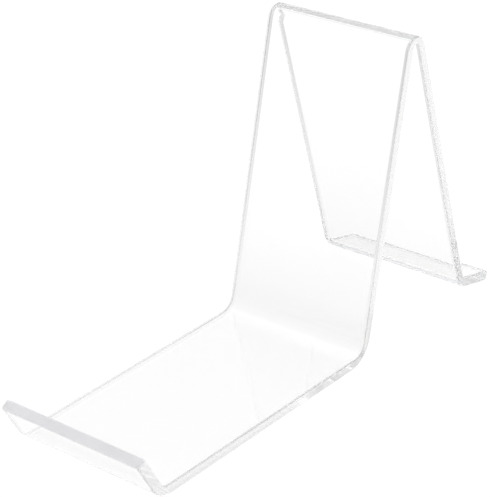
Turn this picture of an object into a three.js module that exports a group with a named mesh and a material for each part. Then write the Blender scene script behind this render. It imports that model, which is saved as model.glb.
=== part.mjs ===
// Book display stand: one strip of clear acrylic sheet, heat-bent along four parallel lines.
//
// Seen from the side, from the reader's end to the back, the strip runs: a short front lip that
// keeps the book from sliding off, a flat ledge on the table, a backrest that leans away from the
// reader, a rear leg that comes back down from the top of the backrest, and a short foot that
// turns backward onto the table.
//
// Millimetres. +X is the reader's right, +Y runs from the reader to the back and +Z is up.
// The origin is on the table, under the centre of the stand's bounding box.

import * as THREE from 'three';

// ---- Driving dimensions ----
const SHEET_THICKNESS = 5;
const STRIP_WIDTH = 75;
const ARRIS = 0.25; // the sawn edges are broken by a narrow chamfer

// Panel lengths run along the middle of the sheet, between the points where the panels would
// meet if the bends were sharp.
const LIP_LENGTH = 22.5;
const LEDGE_LENGTH = 132.5;
const BACKREST_LENGTH = 152;
const FOOT_LENGTH = 22.5;

// Each panel's slope, in degrees from the table.
const LIP_SLOPE = 61.5; // rises towards the reader
const BACKREST_SLOPE = 76; // rises towards the back
const LEG_SLOPE = 75; // falls towards the back
const FOOT_SLOPE = 13; // falls towards the back, so the foot stands on its end edge

// Heating softens a band of the sheet wider than the bend, and the outside of the bend stretches
// thin, so each outer radius is more than the inner radius and the thickness together.
const BENDS = [
  { name: 'front', inner: 3, outer: 13 },
  { name: 'rear', inner: 7, outer: 14.5 },
  { name: 'top', inner: 1.4, outer: 6.85 },
  { name: 'foot', inner: 3, outer: 12 },
];
const ARC_STEPS = 10; // straight segments in each bend

// ---- The sheet's middle line, as points (y, z) with the ledge along y ----

/** A unit vector at an angle in degrees, counted up from +Y. */
function direction(degrees) {
  const angle = THREE.MathUtils.degToRad(degrees);
  return new THREE.Vector2(Math.cos(angle), Math.sin(angle));
}

/** The leg's length that brings the foot's lower end edge level with the ledge's underside. */
function legLength() {
  const half = SHEET_THICKNESS / 2;
  const foot = direction(-FOOT_SLOPE);
  const top = BACKREST_LENGTH * direction(BACKREST_SLOPE).y;
  const footDrop = -FOOT_LENGTH * foot.y + half * foot.x;
  return (top + half - footDrop) / Math.sin(THREE.MathUtils.degToRad(LEG_SLOPE));
}

/** Each panel from front to back: its direction of travel and its length. */
const PANELS = [
  { travel: direction(-LIP_SLOPE), length: LIP_LENGTH },
  { travel: direction(0), length: LEDGE_LENGTH },
  { travel: direction(BACKREST_SLOPE), length: BACKREST_LENGTH },
  { travel: direction(-LEG_SLOPE), length: legLength() },
  { travel: direction(-FOOT_SLOPE), length: FOOT_LENGTH },
];

/** The middle line's corners, from the lip's free end to the foot's. */
function middleLine() {
  const points = [new THREE.Vector2(0, 0)];
  for (const { travel, length } of PANELS) {
    points.push(points.at(-1).clone().addScaledVector(travel, length));
  }
  return points;
}

// ---- The sheet's two faces ----

/** The middle line moved sideways by `shift`: positive towards the book, negative away from it. */
function faceLine(shift) {
  const middle = middleLine();
  const normals = PANELS.map(({ travel }) => new THREE.Vector2(-travel.y, travel.x));
  return middle.map((point, i) => {
    const before = normals[Math.max(i - 1, 0)];
    const after = normals[Math.min(i, normals.length - 1)];
    const mitre = before.clone().add(after);
    return point.clone().addScaledVector(mitre, (2 * shift) / mitre.lengthSq());
  });
}

/** Points of a face from end to end, with each corner rounded to its bend's radius. */
function roundedFace(shift) {
  const corners = faceLine(shift);
  const points = [corners[0]];
  BENDS.forEach((bend, i) => {
    const incoming = PANELS[i].travel;
    const outgoing = PANELS[i + 1].travel;
    const turn = Math.atan2(incoming.cross(outgoing), incoming.dot(outgoing));
    const onTheInside = Math.sign(turn) === Math.sign(shift);
    const radius = onTheInside ? bend.inner : bend.outer;
    const side = Math.sign(turn);
    const tangent = radius * Math.tan(Math.abs(turn) / 2);
    const start = corners[i + 1].clone().addScaledVector(incoming, -tangent);
    const toCentre = new THREE.Vector2(-incoming.y, incoming.x).multiplyScalar(side * radius);
    const centre = start.clone().add(toCentre);
    const spoke = toCentre.clone().negate();
    for (let step = 0; step <= ARC_STEPS; step += 1) {
      const swept = spoke.clone().rotateAround(new THREE.Vector2(), (turn * step) / ARC_STEPS);
      points.push(centre.clone().add(swept));
    }
  });
  points.push(corners.at(-1));
  return points;
}

// ---- The solid ----

/** The bent strip, its outline in the YZ plane drawn out along X, with the arris all round. */
function bentStrip() {
  const bookFace = roundedFace(SHEET_THICKNESS / 2);
  const tableFace = roundedFace(-SHEET_THICKNESS / 2);
  const outline = new THREE.Shape([...bookFace, ...tableFace.reverse()]);
  const geometry = new THREE.ExtrudeGeometry(outline, {
    depth: STRIP_WIDTH - 2 * ARRIS,
    bevelEnabled: true,
    bevelSegments: 1,
    bevelThickness: ARRIS,
    bevelSize: ARRIS,
    bevelOffset: -ARRIS,
  });
  // The outline's x and y become the stand's y and z, and the depth becomes its x.
  geometry.applyMatrix4(new THREE.Matrix4().set(
    0, 0, 1, 0,
    1, 0, 0, 0,
    0, 1, 0, 0,
    0, 0, 0, 1,
  ));
  geometry.computeBoundingBox();
  const { min, max } = geometry.boundingBox;
  geometry.translate(-(min.x + max.x) / 2, -(min.y + max.y) / 2, -min.z);
  return geometry;
}

const clearAcrylic = new THREE.MeshStandardMaterial({
  name: 'clear_acrylic',
  color: 0xf4f7f9,
  roughness: 0.05,
  metalness: 0,
  transparent: true,
  opacity: 0.25,
});

const stand = new THREE.Group();
const sheet = new THREE.Mesh(bentStrip(), clearAcrylic);
sheet.name = 'bent_acrylic_sheet';
stand.add(sheet);

export default stand;
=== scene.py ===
# Book display stand: one strip of clear acrylic, heat-bent along four lines, in a white studio.
#
# Metres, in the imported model's frame: +X is the reader's right, +Y runs from the reader to the
# back and +Z is up. The origin is on the table, under the centre of the stand.

import math

import bpy
from mathutils import Matrix, Vector

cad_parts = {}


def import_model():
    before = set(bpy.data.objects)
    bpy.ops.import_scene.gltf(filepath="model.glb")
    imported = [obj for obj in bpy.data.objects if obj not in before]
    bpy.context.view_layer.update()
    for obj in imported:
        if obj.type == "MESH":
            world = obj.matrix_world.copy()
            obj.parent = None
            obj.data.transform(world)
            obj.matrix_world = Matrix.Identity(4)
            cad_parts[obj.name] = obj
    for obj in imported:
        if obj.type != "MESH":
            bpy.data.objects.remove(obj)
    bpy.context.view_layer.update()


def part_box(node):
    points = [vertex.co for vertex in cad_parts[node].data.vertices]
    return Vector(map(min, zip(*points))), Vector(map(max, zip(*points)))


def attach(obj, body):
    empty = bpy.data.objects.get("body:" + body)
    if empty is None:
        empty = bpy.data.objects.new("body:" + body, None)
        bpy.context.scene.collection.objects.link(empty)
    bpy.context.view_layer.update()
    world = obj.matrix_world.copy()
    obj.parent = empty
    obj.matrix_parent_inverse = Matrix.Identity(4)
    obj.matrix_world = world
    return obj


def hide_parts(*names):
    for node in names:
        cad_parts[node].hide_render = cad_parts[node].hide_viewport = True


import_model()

MM = 0.001
NODE = "bent_acrylic_sheet"
WHITE = (1.0, 1.0, 1.0)

# ---- The sheet, as it was cut and bent ----
THICKNESS = 5 * MM
EDGE_ROUND = 1.15 * MM
LEAST_ROUND = 0.1 * EDGE_ROUND  # what is left of it round the flat of a rounded end

# Panels from front to back: travel direction in degrees up from +Y, and length between bends.
LIP = (-61.5, 22.5 * MM)
LEDGE = (0.0, 132.5 * MM)
BACKREST = (76.0, 152.0 * MM)
LEG_SLOPE = -75.0
FOOT = (-13.0, 22.5 * MM)

# Inner and outer radius of each bend, from front to back.
BEND_RADII = [
    (3 * MM, 13 * MM),
    (7 * MM, 14.5 * MM),
    (1.4 * MM, 6.85 * MM),
    (3 * MM, 12 * MM),
]

# Mesh steps round an edge's corner, round a bend and along a panel.
ROUND_STEPS = 4
ARC_STEPS = 40
PANEL_STEPS = 12
QUARTER_TURN = math.pi / 2

# The sheet's finishes, in the order of its material slots.
FACE, EDGE, END = 0, 1, 2

# ---- Finishes: tint, transmission, lowest and highest roughness, fineness of the wear ----
FACE_FINISH = (WHITE, 1.0, 0.0, 0.02, 40)
EDGE_FINISH = ((0.97, 0.97, 0.97), 1.0, 0.144, 0.216, 150)
END_FINISH = ((0.94, 0.94, 0.97), 0.7, 0.405, 0.495, 150)

IOR = 1.49
ABSORPTION = 1.6
ABSORPTION_COLOUR = (0.5, 0.5, 0.5, 1)

# The noise that wear follows, and the part of its range that runs from low to high roughness.
WEAR_DETAIL = 5.0
WEAR_ROUGHNESS = 0.6
WEAR_RANGE = (0.35, 0.75)

# Painted shade on the faces near the rear bend, a grey tint darkest a little above the table:
# height in millimetres, and the tint there.
FACE_PAINTED_SHADE = [
    (0, 0.96),
    (5, 0.96),
    (7, 0.925),
    (10, 0.885),
    (14, 0.88),
    (22, 0.91),
    (35, 0.94),
    (55, 0.97),
    (90, 0.985),
    (125, 1),
]
PAINTED_SHADE_TOP = FACE_PAINTED_SHADE[-1][0]

# With distance along Y from the rear bend the painted shade thins out, to a least share of itself,
# and the faces' own tint shows.
PAINTED_SHADE_CENTRE = 35 * MM
PAINTED_SHADE_REACH = (32 * MM, 75 * MM)
PAINTED_SHADE_LEAST = 0.35
FACE_TINT = 0.965

# ---- Studio ----
FLOOR_RADIUS = 6
FLOOR_SIDES = 96
FLOOR_DROP = 0.2 * MM
FLOOR_ALBEDO = 0.1
FLOOR_GLOW = 0.94
FLOOR_ROUGHNESS = 0.9

# The sky's strength in front, behind, at the horizon and in a soft cap overhead.
SKY_FRONT = 0.62
SKY_BACK = 0.88
SKY_HORIZON = 1.02
SKY_TOP = 1.9

# Where it changes: a direction's Y from front to back, its Z up from the horizon, and how nearly
# it points along the cap's own direction.
SKY_TURN = (-0.7, 0.5)
HORIZON_BAND = (0.12, 0.3)
CAP_DIRECTION = (0, 0.1, 1)
CAP_EDGE = (0.7, 0.95)

# ---- Camera: angles in degrees, lens and sensor in millimetres ----
AZIMUTH = 40.58
ELEVATION = 27.48
ROLL = -2.02
CAMERA_TARGET = (0, -14.8 * MM, 47.0 * MM)
CAMERA_DISTANCE = 0.8263
SENSOR_WIDTH = 36
LENS = 141.6
LENS_SHIFT = (0.0135, 0.0578)  # as a share of the picture's longer side

# ---- Light paths ----
LIGHT_BOUNCES = 48


# ---- The bent strip in the YZ plane ----
def direction(degrees):
    """A unit vector (y, z) at an angle counted up from +Y."""
    angle = math.radians(degrees)
    return Vector((math.cos(angle), math.sin(angle)))


def panels():
    """Each panel's travel direction and length, with the leg just long enough for the foot to
    stand on its lower end edge."""
    half = THICKNESS / 2
    foot_drop = FOOT[1] * -direction(FOOT[0]).y + half * direction(FOOT[0]).x
    rise = BACKREST[1] * direction(BACKREST[0]).y
    leg = (rise + half - foot_drop) / -direction(LEG_SLOPE).y
    return [(direction(slope), length) for slope, length in
            (LIP, LEDGE, BACKREST, (LEG_SLOPE, leg), FOOT)]


def left_normal(travel):
    """The direction towards the book, square to the direction of travel."""
    return Vector((-travel.y, travel.x))


def face_corners(shift):
    """The sharp corners of the sheet's middle line, moved towards the book by shift."""
    middle = [Vector((0.0, 0.0))]
    for travel, length in panels():
        middle.append(middle[-1] + travel * length)
    normals = [left_normal(travel) for travel, _ in panels()]
    corners = []
    for i, point in enumerate(middle):
        mitre = normals[max(i - 1, 0)] + normals[min(i, len(normals) - 1)]
        corners.append(point + mitre * (2 * shift / mitre.length_squared))
    return corners


def bend_arc(start, turn, incoming, radius):
    """Stations round one bend, each a point and a normal that points towards the book."""
    side = math.copysign(1.0, turn)
    to_centre = left_normal(incoming) * (side * radius)
    stations = []
    for step in range(ARC_STEPS + 1):
        spoke = Matrix.Rotation(turn * step / ARC_STEPS, 2) @ -to_centre
        stations.append((start + to_centre + spoke, spoke * (-side / radius)))
    return stations


def bend_after(i, corner, shift):
    """The stations of the bend between panel i and the next one, which meet at a sharp corner."""
    travel, outgoing = panels()[i][0], panels()[i + 1][0]
    turn = math.atan2(travel.cross(outgoing), travel.dot(outgoing))
    inner, outer = BEND_RADII[i]
    radius = inner if turn * shift > 0 else outer
    start = corner - travel * (radius * math.tan(abs(turn) / 2))
    return bend_arc(start, turn, travel, radius)


def face_stations(shift):
    """Stations (point, normal) along one face of the sheet, as many on either face."""
    corners = face_corners(shift)
    stations = []
    last = corners[0]
    for i, (travel, _) in enumerate(panels()):
        arc = bend_after(i, corners[i + 1], shift) if i < len(BEND_RADII) else []
        end = arc[0][0] if arc else corners[i + 1]
        first = 1 if stations else 0
        stop = PANEL_STEPS if arc else PANEL_STEPS + 1
        normal = left_normal(travel)
        stations += [(last.lerp(end, k / PANEL_STEPS), normal) for k in range(first, stop)]
        stations += arc
        last = arc[-1][0] if arc else end
    return stations


# ---- The strip's surface, ring by ring ----
def section(half_width, thickness, corner):
    """The rounded outline of the strip's cross-section. Each point is its place across, its depth
    below the book's face, and its outward normal across and up."""
    right, left = half_width - corner, corner - half_width
    top, bottom = corner, thickness - corner
    centres = [(right, top), (right, bottom), (left, bottom), (left, top)]
    outline = []
    for quarter, (x, depth) in enumerate(centres):
        for step in range(ROUND_STEPS + 1):
            angle = quarter * QUARTER_TURN + QUARTER_TURN * step / ROUND_STEPS
            out, up = math.sin(angle), math.cos(angle)
            outline.append((x + corner * out, depth - corner * up, out, up))
    return outline


def ring(book, table, half_width, inset, end_way, lean):
    """One ring of points and normals round the strip. inset shrinks it, as towards a rounded end,
    and lean says how far its normals lean along end_way, the direction out of the end."""
    (book_point, book_normal), (table_point, table_normal) = book, table
    down = (table_point - book_point).normalized()
    thickness = (table_point - book_point).length - 2 * inset
    corner = max(EDGE_ROUND - inset, LEAST_ROUND)
    points, normals = [], []
    for x, depth, out, up in section(half_width - inset, thickness, corner):
        place = book_point + down * (inset + depth)
        points.append((x, place.x, place.y))
        face_normal = book_normal * max(up, 0) + table_normal * min(up, 0)
        radial = Vector((out, *face_normal)).normalized() * math.sqrt(1 - lean * lean)
        normals.append((radial + Vector((0, *end_way)) * lean).normalized())
    return points, normals


def rounded_end(book, table, half_width, end_way):
    """Rings that round the strip off at one end, from full size to the flat of the end."""
    rings = []
    for step in range(ROUND_STEPS + 1):
        angle = QUARTER_TURN * step / ROUND_STEPS
        back_off = end_way * (-EDGE_ROUND * (1 - math.sin(angle)))
        inset = EDGE_ROUND * (1 - math.cos(angle))
        moved_book = (book[0] + back_off, book[1])
        moved_table = (table[0] + back_off, table[1])
        rings.append(ring(moved_book, moved_table, half_width, inset, end_way, math.sin(angle)))
    return rings


def all_rings(half_width):
    """Every ring from the lip's end to the foot's end."""
    book, table = face_stations(THICKNESS / 2), face_stations(-THICKNESS / 2)
    start_way, end_way = -panels()[0][0], panels()[-1][0]
    rings = rounded_end(book[0], table[0], half_width, start_way)[::-1]
    for k in range(1, len(book) - 1):
        rings.append(ring(book[k], table[k], half_width, 0, end_way, 0))
    return rings + rounded_end(book[-1], table[-1], half_width, end_way)


def finish_of(k, j, ring_count):
    """The finish of the surface between rings k and k + 1, after point j of each ring."""
    if k < ROUND_STEPS or k >= ring_count - 1 - ROUND_STEPS:
        return END
    table_face = 2 * ROUND_STEPS + 1
    book_face = 4 * ROUND_STEPS + 3
    return FACE if j in (table_face, book_face) else EDGE


def surface(rings):
    """The closed surface through the rings, as faces, a finish for each, and corner normals."""
    count = len(rings[0][0])
    faces, finishes, normals = [], [], []
    for k in range(len(rings) - 1):
        for j in range(count):
            i = (j + 1) % count
            corners = ((k, j), (k, i), (k + 1, i), (k + 1, j))
            faces.append([count * row + point for row, point in corners])
            normals += [rings[row][1][point] for row, point in corners]
            finishes.append(finish_of(k, j, len(rings)))
    last = count * (len(rings) - 1)
    start_cap = (list(range(count - 1, -1, -1)), -panels()[0][0])
    end_cap = (list(range(last, last + count)), panels()[-1][0])
    for cap, out in (start_cap, end_cap):
        faces.append(cap)
        normals += [Vector((0, *out))] * count
        finishes.append(END)
    return faces, finishes, normals


def set_on_table(mesh, low, high):
    """Moves the mesh to the middle of the CAD node's depth, with its lowest point on the table."""
    ys = [vertex.co.y for vertex in mesh.vertices]
    zs = [vertex.co.z for vertex in mesh.vertices]
    move = Vector((0, (low.y + high.y - min(ys) - max(ys)) / 2, low.z - min(zs)))
    mesh.transform(Matrix.Translation(move))


def build_sheet():
    """The sheet as one closed mesh, with its faces, side edges and ends as three finishes."""
    low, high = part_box(NODE)
    rings = all_rings((high.x - low.x) / 2)
    vertices = [point for points, _ in rings for point in points]
    faces, finishes, normals = surface(rings)
    mesh = bpy.data.meshes.new("clear_sheet")
    mesh.from_pydata(vertices, [], faces)
    mesh.polygons.foreach_set("material_index", finishes)
    mesh.polygons.foreach_set("use_smooth", [True] * len(faces))
    set_on_table(mesh, low, high)
    mesh.normals_split_custom_set([tuple(n) for n in normals])
    made = bpy.data.objects.new("clear_sheet", mesh)
    bpy.context.scene.collection.objects.link(made)
    return made


# ---- Nodes ----
def feed(tree, socket, value):
    """Links a socket to an output, or sets it to a plain value."""
    if isinstance(value, bpy.types.NodeSocket):
        tree.links.new(value, socket)
    else:
        socket.default_value = value


def node(tree, kind, **inputs):
    """A new node, with inputs fed by name, where _ stands for a space."""
    made = tree.nodes.new(kind)
    for name, value in inputs.items():
        feed(tree, made.inputs[name.replace("_", " ")], value)
    return made


def map_range(tree, value, limits, low, high):
    """A node that runs evenly from low to high as value crosses the limits."""
    return node(tree, "ShaderNodeMapRange", Value=value, From_Min=limits[0], From_Max=limits[1],
                To_Min=low, To_Max=high)


def smooth_step(tree, value, limits, low, high):
    """An output that runs from low to high, with soft ends, as value crosses the limits."""
    made = map_range(tree, value, limits, low, high)
    made.interpolation_type = "SMOOTHSTEP"
    return made.outputs["Result"]


def place_and_axes(tree, space):
    """The output for a place or direction, and the outputs for its X, Y and Z."""
    place = node(tree, "ShaderNodeTexCoord").outputs[space]
    return place, node(tree, "ShaderNodeSeparateXYZ", Vector=place).outputs


# ---- Materials ----
def wear(tree, low, high, scale):
    """An output for roughness, which runs from low to high over fine noise."""
    place = node(tree, "ShaderNodeTexCoord").outputs["Object"]
    noise = node(tree, "ShaderNodeTexNoise", Vector=place, Scale=scale, Detail=WEAR_DETAIL,
                 Roughness=WEAR_ROUGHNESS)
    return map_range(tree, noise.outputs["Fac"], WEAR_RANGE, low, high).outputs["Result"]


def clear_acrylic(name, tint, clear, low, high, scale):
    """Clear acrylic that absorbs a little light inside, with fine wear on its surface."""
    material = bpy.data.materials.new(name)
    material.use_nodes = True
    tree = material.node_tree
    shader = tree.nodes["Principled BSDF"]
    shader.inputs["Base Color"].default_value = (*tint, 1)
    shader.inputs["Transmission Weight"].default_value = clear
    shader.inputs["IOR"].default_value = IOR
    feed(tree, shader.inputs["Roughness"], wear(tree, low, high, scale))
    absorb = node(tree, "ShaderNodeVolumeAbsorption", Color=ABSORPTION_COLOUR, Density=ABSORPTION)
    feed(tree, tree.nodes["Material Output"].inputs["Volume"], absorb.outputs["Volume"])
    return material


def painted_shade_by_height(tree, height):
    """An output for the painted shade's tint at a height in metres."""
    share = map_range(tree, height, (0.0, PAINTED_SHADE_TOP * MM), 0.0, 1.0).outputs["Result"]
    ramp = node(tree, "ShaderNodeValToRGB", Fac=share)
    stops = ramp.color_ramp.elements
    stops.remove(stops[1])
    for k, (z, tint) in enumerate(FACE_PAINTED_SHADE):
        stop = stops.new(z / PAINTED_SHADE_TOP) if k else stops[0]
        stop.color = (tint, tint, tint, 1)
    return ramp.outputs["Color"]


def painted_shade_share(tree, depth):
    """An output for how much of the painted shade shows, by the distance of Y from the rear bend.
    """
    offset = node(tree, "ShaderNodeMath", Value=depth)
    offset.operation = "SUBTRACT"
    offset.inputs[1].default_value = PAINTED_SHADE_CENTRE
    distance = node(tree, "ShaderNodeMath", Value=offset.outputs["Value"])
    distance.operation = "ABSOLUTE"
    return smooth_step(tree, distance.outputs["Value"], PAINTED_SHADE_REACH, 1.0, PAINTED_SHADE_LEAST)


def paint_shade(material):
    """Paints shade on the clear faces by height, most round the rear bend."""
    tree = material.node_tree
    _, axes = place_and_axes(tree, "Object")
    # Mixes the painted shade near the rear bend into the faces' base colour.
    mix = node(tree, "ShaderNodeMix")
    mix.data_type = "RGBA"
    sockets = {socket.identifier: socket for socket in (*mix.inputs, *mix.outputs)}
    feed(tree, sockets["Factor_Float"], painted_shade_share(tree, axes["Y"]))
    feed(tree, sockets["A_Color"], (FACE_TINT, FACE_TINT, FACE_TINT, 1))
    feed(tree, sockets["B_Color"], painted_shade_by_height(tree, axes["Z"]))
    feed(tree, tree.nodes["Principled BSDF"].inputs["Base Color"], sockets["Result_Color"])


def finish_sheet(made):
    """Gives the sheet its finishes, in the order of FACE, EDGE and END."""
    face = clear_acrylic("polished_face", *FACE_FINISH)
    # Painted shade near the rear bend, in the faces' base colour.
    paint_shade(face)
    edge = clear_acrylic("polished_edge", *EDGE_FINISH)
    end = clear_acrylic("sawn_end", *END_FINISH)
    for material in (face, edge, end):
        made.data.materials.append(material)


# ---- Studio ----
def floor():
    """A white table that glows evenly, so it shows no shadow."""
    bpy.ops.mesh.primitive_circle_add(vertices=FLOOR_SIDES, radius=FLOOR_RADIUS, fill_type="NGON")
    disc = bpy.context.object
    disc.name = "studio_floor"
    disc.location.z = -FLOOR_DROP
    material = bpy.data.materials.new("white_floor")
    material.use_nodes = True
    shader = material.node_tree.nodes["Principled BSDF"]
    shader.inputs["Base Color"].default_value = (FLOOR_ALBEDO, FLOOR_ALBEDO, FLOOR_ALBEDO, 1)
    shader.inputs["Emission Color"].default_value = (*WHITE, 1)
    shader.inputs["Emission Strength"].default_value = FLOOR_GLOW
    shader.inputs["Roughness"].default_value = FLOOR_ROUGHNESS
    shader.inputs["Specular IOR Level"].default_value = 0.0
    disc.data.materials.append(material)


def world():
    """White studio: a soft light overhead, and walls that are brighter behind than in front."""
    made = bpy.data.worlds.new("white_studio")
    made.use_nodes = True
    bpy.context.scene.world = made
    tree = made.node_tree
    way, axes = place_and_axes(tree, "Generated")
    overhead = node(tree, "ShaderNodeVectorMath", Vector=way)
    overhead.operation = "DOT_PRODUCT"
    overhead.inputs[1].default_value = Vector(CAP_DIRECTION).normalized()
    walls = smooth_step(tree, axes["Y"], SKY_TURN, SKY_FRONT, SKY_BACK)
    above_horizon = smooth_step(tree, axes["Z"], HORIZON_BAND, SKY_HORIZON, walls)
    sky = smooth_step(tree, overhead.outputs["Value"], CAP_EDGE, above_horizon, SKY_TOP)
    background = tree.nodes["Background"]
    background.inputs["Color"].default_value = (*WHITE, 1)
    feed(tree, background.inputs["Strength"], sky)


def camera_axes():
    """The camera's right, up and back directions, turned a little about its own axis."""
    azimuth, elevation, roll = (math.radians(a) for a in (AZIMUTH, ELEVATION, ROLL))
    back = Vector((math.sin(azimuth) * math.cos(elevation),
                   -math.cos(azimuth) * math.cos(elevation), math.sin(elevation)))
    right = Vector((math.cos(azimuth), math.sin(azimuth), 0))
    up = back.cross(right)
    turned_right = right * math.cos(roll) + up * math.sin(roll)
    turned_up = up * math.cos(roll) - right * math.sin(roll)
    return turned_right, turned_up, back


def camera():
    """The photo's view, from the reader's right and above."""
    right, up, back = camera_axes()
    data = bpy.data.cameras.new("camera")
    data.sensor_width = SENSOR_WIDTH
    data.lens = LENS
    data.shift_x, data.shift_y = LENS_SHIFT
    made = bpy.data.objects.new("camera", data)
    rotation = Matrix((right, up, back)).transposed()
    place = Vector(CAMERA_TARGET) + back * CAMERA_DISTANCE
    made.matrix_world = Matrix.Translation(place) @ rotation.to_4x4()
    bpy.context.scene.collection.objects.link(made)
    bpy.context.scene.camera = made


def light_paths():
    """Light crosses the clear sheet many times before it leaves: long paths, without blur."""
    cycles = bpy.context.scene.cycles
    cycles.max_bounces = LIGHT_BOUNCES
    cycles.transmission_bounces = LIGHT_BOUNCES
    cycles.glossy_bounces = LIGHT_BOUNCES
    cycles.blur_glossy = 0
    bpy.context.scene.view_settings.view_transform = "Standard"


light_paths()
camera()
world()
floor()
sheet = build_sheet()
finish_sheet(sheet)
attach(sheet, "root")
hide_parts(NODE)
